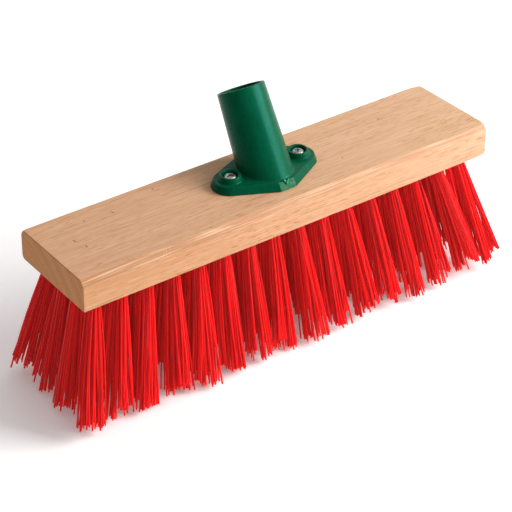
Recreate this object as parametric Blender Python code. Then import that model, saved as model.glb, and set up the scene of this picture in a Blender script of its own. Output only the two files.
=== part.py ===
"""Push broom head: a wooden block set with bristle tufts, and an angled handle socket held by two screws.

Metres, +Z up. The bristle tips stand on z = 0, the block's length runs along X, and the socket leans to +Y.
"""

import math

import bmesh
import bpy
from mathutils import Vector

# Wooden block
BLOCK_LENGTH = 0.320
BLOCK_WIDTH = 0.073
BLOCK_THICKNESS = 0.022
FRONT_CHAMFER_WIDTH = 0.0038
FRONT_CHAMFER_HEIGHT = 0.0042
REAR_TOP_ROUNDING = 0.0036
REAR_BOTTOM_ROUNDING = 0.0030
ROUNDING_STEPS = 4

# Bristle tufts
BRISTLE_FREE_LENGTH = 0.090
TUFTS_PER_ROW = 16
TUFT_PITCH = 0.0194
OUTER_ROW_Y = 0.0240
INNER_ROW_Y = 0.0080
HOLE_RADIUS = 0.0048
HOLE_DEPTH = 0.0120
TUFT_ROOT_RADIUS = 0.0044
OUTER_TIP_RADIUS = 0.0080
INNER_TIP_RADIUS = 0.0098
END_FLARE = 0.0200
OUTER_ROW_FLARE = 0.0160
INNER_ROW_FLARE = 0.0050
PAIR_LEAN = 0.0022
TUFT_SIDES = 10

# Handle socket
SOCKET_X = 0.0030
SOCKET_Y = 0.0020
SOCKET_TILT = math.radians(30.0)
TUBE_LENGTH = 0.0534
TUBE_MOUTH_RADIUS = 0.0160
TUBE_BASE_RADIUS = 0.0175
MOUTH_CHAMFER = 0.0006
BORE_MOUTH_RADIUS = 0.0141
BORE_BASE_RADIUS = 0.0138
BORE_FLOOR = 0.0020
TUBE_SIDES = 32
FLANGE_THICKNESS = 0.0050
FLANGE_TOP_INSET_ENDS = 0.0017
FLANGE_TOP_INSET_FACETS = 0.0032
FLANGE_EDGE_CHAMFER = 0.0005
FLANGE_END_RADIUS = 0.0127
FLANGE_FACET_HALF_WIDTH = 0.0060
FLANGE_FACET_SHIFT = 0.0014
FLANGE_HALF_DEPTH = 0.0254
FLANGE_ARC_STEPS = 8

# Screws and the ring bosses that they sit in
SCREW_X = 0.0272
BOSS_HEIGHT = 0.0036
BOSS_BASE_RADIUS = 0.0080
BOSS_TOP_RADIUS = 0.0070
BOSS_BORE_RADIUS = 0.0052
SHANK_HOLE_RADIUS = 0.0022
PILOT_HOLE_RADIUS = 0.0021
PILOT_HOLE_DEPTH = 0.0090
SCREW_SHANK_RADIUS = 0.0017
SCREW_TIP_RADIUS = 0.0004
SCREW_TIP_LENGTH = 0.0030
SCREW_DEPTH_IN_BLOCK = 0.0084
HEAD_RADIUS = 0.0043
HEAD_SIDE_HEIGHT = 0.0009
HEAD_HEIGHT = 0.0028
SHOULDER_HEIGHT = 0.0020
SHOULDER_RADIUS = 0.0034
CROWN_RADIUS = 0.0019
RECESS_LENGTH = 0.0056
RECESS_WIDTH = 0.0013
RECESS_DEPTH = 0.0020
RECESS_FLOOR_SHARE = 0.6
SCREW_SIDES = 20

# Largest angle between faces that are shaded as one surface, in degrees
SMOOTH_ANGLE = 35.0

# Clearance between pieces that touch
GAP = 0.0003

BLOCK_BOTTOM = BRISTLE_FREE_LENGTH
BLOCK_TOP = BLOCK_BOTTOM + BLOCK_THICKNESS
FLANGE_BOTTOM = BLOCK_TOP + GAP
FLANGE_TOP = FLANGE_BOTTOM + FLANGE_THICKNESS
FLANGE_MIDDLE = 0.5 * (FLANGE_BOTTOM + FLANGE_TOP)
BOSS_TOP = FLANGE_TOP + BOSS_HEIGHT
HEAD_SEAT = FLANGE_TOP + GAP
FIRST_TUFT_X = -0.5 * (TUFTS_PER_ROW - 1) * TUFT_PITCH
TUBE_AXIS = Vector((0.0, math.sin(SOCKET_TILT), math.cos(SOCKET_TILT)))
TUBE_ACROSS = Vector((0.0, math.cos(SOCKET_TILT), -math.sin(SOCKET_TILT)))
TUBE_BASE = Vector((SOCKET_X, SOCKET_Y, FLANGE_TOP))


def clear_scene():
    for item in list(bpy.data.objects):
        bpy.data.objects.remove(item, do_unlink=True)


def make_material(name, colour, roughness, metallic=0.0):
    material = bpy.data.materials.new(name)
    material.use_nodes = True
    shader = material.node_tree.nodes["Principled BSDF"]
    shader.inputs["Base Color"].default_value = (*colour, 1.0)
    shader.inputs["Roughness"].default_value = roughness
    shader.inputs["Metallic"].default_value = metallic
    return material


def wood_material():
    return make_material("beech_wood", (0.72, 0.45, 0.25), 0.55)


def socket_material():
    return make_material("green_plastic", (0.0, 0.10, 0.05), 0.35)


def bristle_material():
    return make_material("red_bristle", (0.60, 0.02, 0.02), 0.40)


def screw_material():
    return make_material("zinc_steel", (0.60, 0.60, 0.58), 0.35, 1.0)


def circle(radius, centre, sides):
    """Points of a level circle, counter-clockwise seen from above."""
    angles = [2.0 * math.pi * k / sides for k in range(sides)]
    return [centre + Vector((radius * math.cos(a), radius * math.sin(a), 0.0)) for a in angles]


def loft(name, rings):
    """A closed body through rings of equal point count, capped at both ends."""
    mesh = bpy.data.meshes.new(name)
    body = bmesh.new()
    loops = [[body.verts.new(point) for point in ring] for ring in rings]
    for lower, upper in zip(loops, loops[1:]):
        for k in range(len(lower)):
            nxt = (k + 1) % len(lower)
            body.faces.new((lower[k], lower[nxt], upper[nxt], upper[k]))
    body.faces.new(loops[0])
    body.faces.new(loops[-1])
    bmesh.ops.recalc_face_normals(body, faces=body.faces)
    body.to_mesh(mesh)
    body.free()
    item = bpy.data.objects.new(name, mesh)
    bpy.context.collection.objects.link(item)
    return item


def join_meshes(name, items):
    """One object holding the separate closed bodies of several."""
    body = bmesh.new()
    for item in items:
        body.from_mesh(item.data)
        bpy.data.objects.remove(item, do_unlink=True)
    mesh = bpy.data.meshes.new(name)
    body.to_mesh(mesh)
    body.free()
    joined = bpy.data.objects.new(name, mesh)
    bpy.context.collection.objects.link(joined)
    return joined


def apply_boolean(item, tool, operation):
    """Cut or join item with tool, keep the result as its mesh, and drop the tool."""
    modifier = item.modifiers.new(tool.name, "BOOLEAN")
    modifier.object = tool
    modifier.operation = operation
    modifier.solver = "EXACT"
    graph = bpy.context.evaluated_depsgraph_get()
    mesh = bpy.data.meshes.new_from_object(item.evaluated_get(graph))
    item.modifiers.clear()
    item.data = mesh
    mesh.name = item.name
    bpy.data.objects.remove(tool, do_unlink=True)


def finish(item, material):
    """Give a node its material; only edges sharper than the smooth angle stay sharp."""
    item.data.materials.clear()
    item.data.materials.append(material)
    item.data.shade_smooth()
    item.data.set_sharp_from_angle(angle=math.radians(SMOOTH_ANGLE))


def arc(centre, radius, start, stop, steps):
    """Points (u, v) along an arc; the angles are in degrees."""
    angles = [math.radians(start + (stop - start) * k / steps) for k in range(steps + 1)]
    return [(centre[0] + radius * math.cos(a), centre[1] + radius * math.sin(a)) for a in angles]


def tuft_x(column):
    return FIRST_TUFT_X + column * TUFT_PITCH


def outer_slope(column, row_flare, row_side):
    """Sideways travel of a tuft's centre line for each metre down towards the floor."""
    end_share = tuft_x(column) / abs(FIRST_TUFT_X)
    return Vector((END_FLARE * end_share, row_flare * row_side, 0.0)) / BRISTLE_FREE_LENGTH


def tuft_centre(root, slope, z):
    return Vector((root.x, root.y, z)) + slope * (BLOCK_BOTTOM - z)


def tuft_root(column, row_y):
    return Vector((tuft_x(column), row_y, BLOCK_BOTTOM))


def make_hole_cutter(root, slope):
    top = BLOCK_BOTTOM + HOLE_DEPTH
    bottom = BLOCK_BOTTOM - GAP
    rings = [circle(HOLE_RADIUS, tuft_centre(root, slope, z), TUFT_SIDES) for z in (bottom, top)]
    return loft("hole_cutter", rings)


def make_tuft(name, root, slope, tip_radius):
    """One folded bundle of bristles: straight in its hole, then spreading to the floor."""
    sections = (
        (0.0, tip_radius),
        (BLOCK_BOTTOM - GAP, TUFT_ROOT_RADIUS),
        (BLOCK_BOTTOM + HOLE_DEPTH - GAP, TUFT_ROOT_RADIUS),
    )
    rings = [circle(radius, tuft_centre(root, slope, z), TUFT_SIDES) for z, radius in sections]
    return loft(name, rings)


def block_outline():
    """Cross-section (y, z): chamfered front top, rounded rear top and rear bottom, square front bottom."""
    front = -0.5 * BLOCK_WIDTH
    rear = 0.5 * BLOCK_WIDTH
    outline = [(front, BLOCK_BOTTOM)]
    lower_centre = (rear - REAR_BOTTOM_ROUNDING, BLOCK_BOTTOM + REAR_BOTTOM_ROUNDING)
    outline += arc(lower_centre, REAR_BOTTOM_ROUNDING, -90.0, 0.0, ROUNDING_STEPS)
    upper_centre = (rear - REAR_TOP_ROUNDING, BLOCK_TOP - REAR_TOP_ROUNDING)
    outline += arc(upper_centre, REAR_TOP_ROUNDING, 0.0, 90.0, ROUNDING_STEPS)
    outline.append((front + FRONT_CHAMFER_WIDTH, BLOCK_TOP))
    outline.append((front, BLOCK_TOP - FRONT_CHAMFER_HEIGHT))
    return outline


def tuft_rows():
    """Each row's name, y, sideways flare and side of the centre line."""
    return (
        ("front", -OUTER_ROW_Y, OUTER_ROW_FLARE, -1.0),
        ("mid_front", -INNER_ROW_Y, INNER_ROW_FLARE, -1.0),
        ("mid_rear", INNER_ROW_Y, INNER_ROW_FLARE, 1.0),
        ("rear", OUTER_ROW_Y, OUTER_ROW_FLARE, 1.0),
    )


def make_block(material):
    ends = (-0.5 * BLOCK_LENGTH, 0.5 * BLOCK_LENGTH)
    block = loft("block", [[Vector((x, y, z)) for y, z in block_outline()] for x in ends])
    cutters = []
    for _, row_y, flare, side in tuft_rows():
        row_slope = inner_slope if abs(row_y) < OUTER_ROW_Y else outer_slope
        for column in range(TUFTS_PER_ROW):
            cutters.append(make_hole_cutter(tuft_root(column, row_y), row_slope(column, flare, side)))
    for side in (-1.0, 1.0):
        centre = Vector((SOCKET_X + side * SCREW_X, SOCKET_Y, 0.0))
        heights = (BLOCK_TOP - PILOT_HOLE_DEPTH, BLOCK_TOP + GAP)
        rings = [circle(PILOT_HOLE_RADIUS, centre + Vector((0.0, 0.0, z)), SCREW_SIDES) for z in heights]
        cutters.append(loft("pilot_cutter", rings))
    apply_boolean(block, join_meshes("block_cutters", cutters), "DIFFERENCE")
    finish(block, material)


def inner_slope(column, flare, side):
    """Inner tufts also lean towards their pair partner, so that the pair's tips meet."""
    towards_partner = 1.0 if column % 2 == 0 else -1.0
    lean = Vector((towards_partner * PAIR_LEAN, 0.0, 0.0)) / BRISTLE_FREE_LENGTH
    return outer_slope(column, flare, side) + lean


def make_outer_tufts(row_name, row_y, flare, side, material):
    for column in range(TUFTS_PER_ROW):
        name = f"tuft_{row_name}_{column + 1:02d}"
        tuft = make_tuft(name, tuft_root(column, row_y), outer_slope(column, flare, side), OUTER_TIP_RADIUS)
        finish(tuft, material)


def make_inner_tuft_pairs(row_name, row_y, flare, side, material):
    """Neighbours in an inner row spread into each other near the floor, so each pair is one body."""
    for column in range(0, TUFTS_PER_ROW, 2):
        members = [
            make_tuft(
                f"tuft_pair_{row_name}_{column // 2 + 1:02d}" if k == column else "pair_partner",
                tuft_root(k, row_y),
                inner_slope(k, flare, side),
                INNER_TIP_RADIUS,
            )
            for k in (column, column + 1)
        ]
        apply_boolean(members[0], members[1], "UNION")
        finish(members[0], material)


def make_tufts(material):
    for row_name, row_y, flare, side in tuft_rows():
        if abs(row_y) < OUTER_ROW_Y:
            make_inner_tuft_pairs(row_name, row_y, flare, side, material)
        else:
            make_outer_tufts(row_name, row_y, flare, side, material)


def flange_outline(end_inset, facet_inset, z):
    """Two round ends joined by straight sides to a short facet at the front and the rear."""
    end_radius = FLANGE_END_RADIUS - end_inset
    depth = FLANGE_HALF_DEPTH - facet_inset
    right_corner = FLANGE_FACET_SHIFT + FLANGE_FACET_HALF_WIDTH
    left_corner = FLANGE_FACET_SHIFT - FLANGE_FACET_HALF_WIDTH
    right_tangent = tangent_angle(end_radius, SCREW_X - right_corner, depth)
    left_tangent = tangent_angle(end_radius, SCREW_X + left_corner, depth)
    outline = arc((SCREW_X, 0.0), end_radius, -right_tangent, right_tangent, FLANGE_ARC_STEPS)
    outline += [(right_corner, depth), (left_corner, depth)]
    outline += arc((-SCREW_X, 0.0), end_radius, 180.0 - left_tangent, 180.0 + left_tangent, FLANGE_ARC_STEPS)
    outline += [(left_corner, -depth), (right_corner, -depth)]
    return [Vector((SOCKET_X + x, SOCKET_Y + y, z)) for x, y in outline]


def tangent_angle(radius, inward, depth):
    """Angle in degrees at which the line from a facet's corner touches a round end."""
    return math.degrees(math.atan2(depth, -inward) - math.acos(radius / math.hypot(inward, depth)))


def tilted_ring(radius_base, radius_mouth, along):
    """Circle square to the tube's axis, at a distance along it."""
    radius = radius_base + (radius_mouth - radius_base) * along / TUBE_LENGTH
    angles = [2.0 * math.pi * k / TUBE_SIDES for k in range(TUBE_SIDES)]
    side = Vector((1.0, 0.0, 0.0))
    centre = TUBE_BASE + along * TUBE_AXIS
    return [centre + radius * (math.cos(a) * side + math.sin(a) * TUBE_ACROSS) for a in angles]


def level_ring(radius_base, radius_mouth, z):
    """Where the lines of a slightly conical, tilted wall meet a level plane."""
    taper = (radius_mouth - radius_base) / TUBE_LENGTH
    points = []
    for k in range(TUBE_SIDES):
        angle = 2.0 * math.pi * k / TUBE_SIDES
        outward = math.cos(angle) * Vector((1.0, 0.0, 0.0)) + math.sin(angle) * TUBE_ACROSS
        along = (z - TUBE_BASE.z - radius_base * outward.z) / (TUBE_AXIS.z + taper * outward.z)
        points.append(TUBE_BASE + along * TUBE_AXIS + (radius_base + taper * along) * outward)
    return points


def make_tube_body():
    rim = tilted_ring(TUBE_BASE_RADIUS, TUBE_MOUTH_RADIUS, TUBE_LENGTH - MOUTH_CHAMFER)
    centre = TUBE_BASE + TUBE_LENGTH * TUBE_AXIS
    shrink = 1.0 - MOUTH_CHAMFER / TUBE_MOUTH_RADIUS
    mouth = [centre + shrink * (p + MOUTH_CHAMFER * TUBE_AXIS - centre) for p in rim]
    return loft("tube_body", [level_ring(TUBE_BASE_RADIUS, TUBE_MOUTH_RADIUS, FLANGE_MIDDLE), rim, mouth])


def make_bore_cutter():
    floor = level_ring(BORE_BASE_RADIUS, BORE_MOUTH_RADIUS, FLANGE_BOTTOM + BORE_FLOOR)
    return loft("bore_cutter", [floor, tilted_ring(BORE_BASE_RADIUS, BORE_MOUTH_RADIUS, TUBE_LENGTH + GAP)])


def make_round(name, x, sections, sides):
    """A turned body on the vertical line through (x, SOCKET_Y); sections are (z, radius)."""
    rings = [circle(radius, Vector((x, SOCKET_Y, z)), sides) for z, radius in sections]
    return loft(name, rings)


def make_socket(material):
    edge = FLANGE_EDGE_CHAMFER
    socket = loft("handle_socket", [
        flange_outline(0.0, 0.0, FLANGE_BOTTOM),
        flange_outline(FLANGE_TOP_INSET_ENDS - edge, FLANGE_TOP_INSET_FACETS - edge, FLANGE_TOP - edge),
        flange_outline(FLANGE_TOP_INSET_ENDS, FLANGE_TOP_INSET_FACETS, FLANGE_TOP),
    ])
    for side in (-1.0, 1.0):
        x = SOCKET_X + side * SCREW_X
        ring = ((FLANGE_MIDDLE, BOSS_BASE_RADIUS), (BOSS_TOP, BOSS_TOP_RADIUS))
        apply_boolean(socket, make_round("boss", x, ring, TUBE_SIDES), "UNION")
    apply_boolean(socket, make_tube_body(), "UNION")
    apply_boolean(socket, make_bore_cutter(), "DIFFERENCE")
    for side in (-1.0, 1.0):
        x = SOCKET_X + side * SCREW_X
        head_bore = ((FLANGE_TOP, BOSS_BORE_RADIUS), (BOSS_TOP + GAP, BOSS_BORE_RADIUS))
        apply_boolean(socket, make_round("head_bore", x, head_bore, TUBE_SIDES), "DIFFERENCE")
        shank_bore = ((FLANGE_BOTTOM - GAP, SHANK_HOLE_RADIUS), (FLANGE_TOP + GAP, SHANK_HOLE_RADIUS))
        apply_boolean(socket, make_round("shank_bore", x, shank_bore, SCREW_SIDES), "DIFFERENCE")
    finish(socket, material)


def recess_slot(x, size_x, size_y):
    """One arm of the cross recess, narrower at its floor."""
    top = HEAD_SEAT + HEAD_HEIGHT + GAP
    corners = ((-1.0, -1.0), (1.0, -1.0), (1.0, 1.0), (-1.0, 1.0))
    rings = []
    for z, share in ((top - RECESS_DEPTH - GAP, RECESS_FLOOR_SHARE), (top, 1.0)):
        half = Vector((0.5 * size_x * share, 0.5 * size_y * share))
        rings.append([Vector((x + sx * half.x, SOCKET_Y + sy * half.y, z)) for sx, sy in corners])
    return loft("recess_slot", rings)


def make_screw(name, x, material):
    """Domed cross-recess wood screw: point, shank, head."""
    tip = BLOCK_TOP - SCREW_DEPTH_IN_BLOCK
    sections = (
        (tip, SCREW_TIP_RADIUS),
        (tip + SCREW_TIP_LENGTH, SCREW_SHANK_RADIUS),
        (HEAD_SEAT, SCREW_SHANK_RADIUS),
        (HEAD_SEAT, HEAD_RADIUS),
        (HEAD_SEAT + HEAD_SIDE_HEIGHT, HEAD_RADIUS),
        (HEAD_SEAT + SHOULDER_HEIGHT, SHOULDER_RADIUS),
        (HEAD_SEAT + HEAD_HEIGHT, CROWN_RADIUS),
    )
    screw = make_round(name, x, sections, SCREW_SIDES)
    apply_boolean(screw, recess_slot(x, RECESS_LENGTH, RECESS_WIDTH), "DIFFERENCE")
    apply_boolean(screw, recess_slot(x, RECESS_WIDTH, RECESS_LENGTH), "DIFFERENCE")
    finish(screw, material)


def main():
    clear_scene()
    make_block(wood_material())
    make_tufts(bristle_material())
    make_socket(socket_material())
    steel = screw_material()
    make_screw("screw_left", SOCKET_X - SCREW_X, steel)
    make_screw("screw_right", SOCKET_X + SCREW_X, steel)


main()
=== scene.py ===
"""Looks of the push broom head: planed wooden block, moulded green socket, steel screws and red bristles.

Metres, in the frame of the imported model. Each CAD node is replaced by a finer piece in the same place.
"""

import math

import bmesh
import bpy
import numpy as np
from mathutils import Matrix, Vector


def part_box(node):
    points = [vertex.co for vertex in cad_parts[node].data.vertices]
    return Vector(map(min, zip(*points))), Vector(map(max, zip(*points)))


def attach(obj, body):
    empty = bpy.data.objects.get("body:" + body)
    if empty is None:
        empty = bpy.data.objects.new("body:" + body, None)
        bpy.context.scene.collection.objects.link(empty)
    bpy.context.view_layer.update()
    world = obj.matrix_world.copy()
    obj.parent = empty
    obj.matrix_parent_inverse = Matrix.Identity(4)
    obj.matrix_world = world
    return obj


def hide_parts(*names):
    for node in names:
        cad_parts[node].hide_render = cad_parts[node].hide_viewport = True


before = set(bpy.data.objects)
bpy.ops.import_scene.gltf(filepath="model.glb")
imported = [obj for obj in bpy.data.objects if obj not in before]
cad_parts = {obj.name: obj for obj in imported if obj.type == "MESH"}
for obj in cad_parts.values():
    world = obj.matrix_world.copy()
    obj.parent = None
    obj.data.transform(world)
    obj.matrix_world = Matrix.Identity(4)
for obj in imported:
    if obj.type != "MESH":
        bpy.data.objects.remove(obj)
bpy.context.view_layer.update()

# Places read from the frame
BLOCK_LOW, BLOCK_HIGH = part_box("block")
SOCKET_LOW, SOCKET_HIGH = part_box("handle_socket")
SCREW_LOW, SCREW_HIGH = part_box("screw_left")
RIGHT_SCREW_LOW, RIGHT_SCREW_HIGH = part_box("screw_right")
SCREW_LEFT = 0.5 * (SCREW_LOW + SCREW_HIGH)
SCREW_RIGHT = 0.5 * (RIGHT_SCREW_LOW + RIGHT_SCREW_HIGH)
SOCKET_CENTRE = 0.5 * (SCREW_LEFT + SCREW_RIGHT)
HALF_LENGTH = 0.5 * (BLOCK_HIGH.x - BLOCK_LOW.x)
HALF_WIDTH = 0.5 * (BLOCK_HIGH.y - BLOCK_LOW.y)
BLOCK_BOTTOM = BLOCK_LOW.z
BLOCK_TOP = BLOCK_HIGH.z

# Block edges
FRONT_CHAMFER_WIDTH = 0.0038
FRONT_CHAMFER_HEIGHT = 0.0042
CHAMFER_SOFTNESS = 0.0004
SHARP_EDGE_SOFTNESS = 0.0005
REAR_TOP_ROUNDING = 0.0036
REAR_BOTTOM_ROUNDING = 0.0030
LEFT_WEAR = 0.0016
LEFT_WEAR_REACH = 0.0045
RIGHT_WEAR = 0.0020
RIGHT_WEAR_REACH = 0.0120
RIGHT_CHAMFER_WEAR = 0.0060
END_EDGE_SOFTNESS = 0.0006
RIGHT_CORNER_ROUNDING = 0.0032
RIGHT_END_SKEW = 0.0032
BEVEL_NICKS = (-0.0992, -0.0972, -0.0945)
BEVEL_NICK_WIDTH = 0.0004
BEVEL_NICK_SLANT = 0.5
HOLE_RADIUS = 0.0048
HOLE_DEPTH = 0.0120
PILOT_HOLE_RADIUS = 0.0021
PILOT_HOLE_DEPTH = 0.0090
SKEW_START = 0.6 * HALF_LENGTH
SKEW_LENGTH = 0.4 * HALF_LENGTH

# Wood figure: the pith's place, and one dark streak on the top
PITH_Y = 0.047
PITH_DEPTH = 0.065
STREAK_MOVE = (0.1085, 0.0175, 0.0)
STREAK_TURN = math.radians(9.8)
STREAK_HALF_LENGTH = 0.017
STREAK_HALF_WIDTH = 0.0007

# Socket moulding
TILT = math.radians(30.0)
TUBE_LENGTH = 0.0534
TUBE_BASE_RADIUS = 0.0177
TUBE_MOUTH_RADIUS = 0.0160
BORE_BASE_RADIUS = 0.0138
BORE_MOUTH_RADIUS = 0.0141
LIP_ROUNDING = 0.0007
BASE_FILLET = 0.0012
FLANGE_THICKNESS = 0.0050
FLANGE_END_RADIUS = 0.0127
FLANGE_HALF_DEPTH = 0.0254
FLANGE_FACET_HALF_WIDTH = 0.0060
FLANGE_FACET_SHIFT = 0.0014
GATE_SHIFT = 0.0008
FLANGE_TOP_INSET_ENDS = 0.0017
FLANGE_TOP_INSET_FACETS = 0.0032
FLANGE_EDGE_ROUNDING = 0.0005
BOSS_HEIGHT = 0.0036
BOSS_BASE_RADIUS = 0.0078
BOSS_TOP_RADIUS = 0.0071
BOSS_BORE_RADIUS = 0.0052
BOSS_RIM_ROUNDING = 0.0008
BOSS_FOOT_FILLET = 0.0009
BOSS_BORE_RIM = 0.0006
BOSS_SIDES = 96
FLANGE_OVERLAP = 0.0012
SHANK_HOLE_RADIUS = 0.0022
BORE_FLOOR = 0.0020
TUBE_SIDES = 128
ARC_STEPS = 6

# Screws
HEAD_RADIUS = 0.0043
HEAD_HEIGHT = 0.0028
SHANK_RADIUS = 0.0013
THREAD_HEIGHT = 0.0004
THREAD_PITCH = 0.0014
RECESS_LENGTH = 0.0056
RECESS_WIDTH = 0.0011
RECESS_DEPTH = 0.0021
RECESS_CORE_RADIUS = 0.0010
POINT_LENGTH = 0.003
POINT_RADIUS = 0.0002
# Node, box and turn of the cross recess in degrees
SCREWS = (
    ("screw_left", SCREW_LOW, SCREW_HIGH, 20.0),
    ("screw_right", RIGHT_SCREW_LOW, RIGHT_SCREW_HIGH, -35.0),
)

# Bristles
BRISTLE_RADIUS = 0.00055
BRISTLE_SIDES = 6
STRANDS_PER_TUFT = 32
TUFT_ROOT_RADIUS = 0.0041
TIP_SPREAD_ALONG = 0.0095
TIP_SPREAD_ACROSS = 0.0078
INNER_SPREAD_SHARE = 1.25
FREE_STEPS = 6
LEAN_ALONG = 0.0030
END_LEANS = {"01": 0.0022, "15": 0.0014, "16": -0.0014}
TRIM_LOSS = (0.0008, 0.0090)
TRIM_SCATTER = 0.0010
TRIM_SLANT = 0.0034
LONG_SHARE = 0.11
STRAY_SHARE = 0.04
STRAY_SCATTER = 0.0040
TIP_SCATTER = 0.0006
LEAN_SCATTER = np.array((0.0020, 0.0018))
BOW_SCATTER = 0.0007
FOLD_HEIGHT = HOLE_DEPTH - 0.0016
# Share of the fold's height, and of the way out from its middle to a leg
FOLD_SHAPE = ((0.55, 0.85), (0.90, 0.55), (1.0, 0.0), (0.90, -0.55), (0.55, -0.85))
ANCHOR_HEIGHT = HOLE_DEPTH - 0.0031
ANCHOR_GRIP = 0.0006
ANCHOR_HALF_HEIGHT = 0.0008
ANCHOR_HALF_THICKNESS = 0.00022
ANCHOR_END_HALF_THICKNESS = 0.00008

# Studio: name, azimuth, elevation, distance, size, watts and colour of each light
LIGHTS = (
    ("key", -31.0, 32.0, 1.6, (0.8, 0.8), 26.8, (1.0, 0.995, 0.985)),
    ("strip", -55.0, 22.0, 1.6, (0.14, 0.9), 8.0, (1.0, 1.0, 1.0)),
)
LIGHT_TARGET = Vector((0.0, 0.0, 0.08))
WORLD_DIM, WORLD_BRIGHT = 0.15, 1.00
FLOOR_HALF_SIZE = 4.0
CAMERA_TARGET = Vector((-0.01403, -0.01319, 0.06194))
CAMERA_AZIMUTH = math.radians(36.36)
CAMERA_ELEVATION = math.radians(34.02)
CAMERA_ROLL = math.radians(0.62)
CAMERA_DISTANCE = 1.3765
CAMERA_LENS = 147.74

CORNERS = ((-1.0, -1.0), (1.0, -1.0), (1.0, 1.0), (-1.0, 1.0))

FLANGE_BOTTOM = SOCKET_LOW.z
FLANGE_TOP = FLANGE_BOTTOM + FLANGE_THICKNESS
TUBE_AXIS = Vector((0.0, math.sin(TILT), math.cos(TILT)))
TUBE_ACROSS = Vector((0.0, math.cos(TILT), -math.sin(TILT)))
TUBE_BASE = Vector((SOCKET_CENTRE.x, SOCKET_CENTRE.y, FLANGE_TOP))


# ---------------------------------------------------------------- mesh tools

def add_object(name, data):
    item = bpy.data.objects.new(name, data)
    bpy.context.scene.collection.objects.link(item)
    return item


def mesh_object(name, points, faces):
    mesh = bpy.data.meshes.new(name)
    mesh.from_pydata([tuple(p) for p in points], [], [tuple(f) for f in faces])
    mesh.validate()
    return add_object(name, mesh)


def body_object(name, body):
    """Turn a bmesh into an object, and free it."""
    mesh = bpy.data.meshes.new(name)
    body.to_mesh(mesh)
    body.free()
    return add_object(name, mesh)


def bake_modifiers(item):
    graph = bpy.context.evaluated_depsgraph_get()
    mesh = bpy.data.meshes.new_from_object(item.evaluated_get(graph))
    item.modifiers.clear()
    item.data = mesh
    mesh.name = item.name


def loft(name, rings):
    """A closed body through rings of equal point count, capped at both ends and facing out."""
    count = len(rings[0])
    points = [p for ring in rings for p in ring]
    faces = []
    for row in range(len(rings) - 1):
        for k in range(count):
            nxt = (k + 1) % count
            low = row * count
            faces.append((low + k, low + nxt, low + count + nxt, low + count + k))
    faces.append(tuple(range(count)))
    faces.append(tuple(range((len(rings) - 1) * count, len(rings) * count)))
    item = mesh_object(name, points, faces)
    body = bmesh.new()
    body.from_mesh(item.data)
    bmesh.ops.recalc_face_normals(body, faces=body.faces)
    body.to_mesh(item.data)
    body.free()
    return item


def circle(centre, radius, z, sides):
    angles = [2.0 * math.pi * k / sides for k in range(sides)]
    return [(centre[0] + radius * math.cos(a), centre[1] + radius * math.sin(a), z) for a in angles]


def turned(name, centre, profile, sides):
    """A body turned about the vertical line through centre; profile is (z, radius)."""
    return loft(name, [circle(centre, radius, z, sides) for z, radius in profile])


def rounding(radius, steps, rising=False):
    """Steps (down, aside) of a rounded edge, from (radius, 0) to (0, radius); rising runs backwards."""
    pairs = []
    for k in range(steps + 1):
        angle = 0.5 * math.pi * (1.0 - k / steps) if rising else 0.5 * math.pi * k / steps
        pairs.append((radius * (1.0 - math.sin(angle)), radius * (1.0 - math.cos(angle))))
    return pairs


def arc(centre, radius, start, stop, steps):
    """Points (u, v) along an arc; the angles are in degrees."""
    angles = [math.radians(start + (stop - start) * k / steps) for k in range(steps + 1)]
    return [(centre[0] + radius * math.cos(a), centre[1] + radius * math.sin(a)) for a in angles]


def join_meshes(name, items):
    body = bmesh.new()
    for item in items:
        body.from_mesh(item.data)
        bpy.data.objects.remove(item, do_unlink=True)
    return body_object(name, body)


def apply_boolean(item, tool, operation):
    modifier = item.modifiers.new(tool.name, "BOOLEAN")
    modifier.object = tool
    modifier.operation = operation
    modifier.solver = "EXACT"
    bake_modifiers(item)
    bpy.data.objects.remove(tool, do_unlink=True)


def smooth(item, angle):
    """Smooth shading, with edges that turn by more than angle, in degrees, kept sharp."""
    item.data.shade_smooth()
    item.data.set_sharp_from_angle(angle=math.radians(angle))


def weigh_normals(item):
    """Lean the shading towards the larger faces, so that flat faces beside rounded edges look flat."""
    modifier = item.modifiers.new("weighted", "WEIGHTED_NORMAL")
    modifier.keep_sharp = True
    bake_modifiers(item)


def place(item, material, nodes):
    """Give a piece its material, hang it on the root body, and hide the CAD nodes it stands in for."""
    item.data.materials.clear()
    item.data.materials.append(material)
    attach(item, "root")
    if nodes:
        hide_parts(*nodes)


# ---------------------------------------------------------------- node tools

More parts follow.
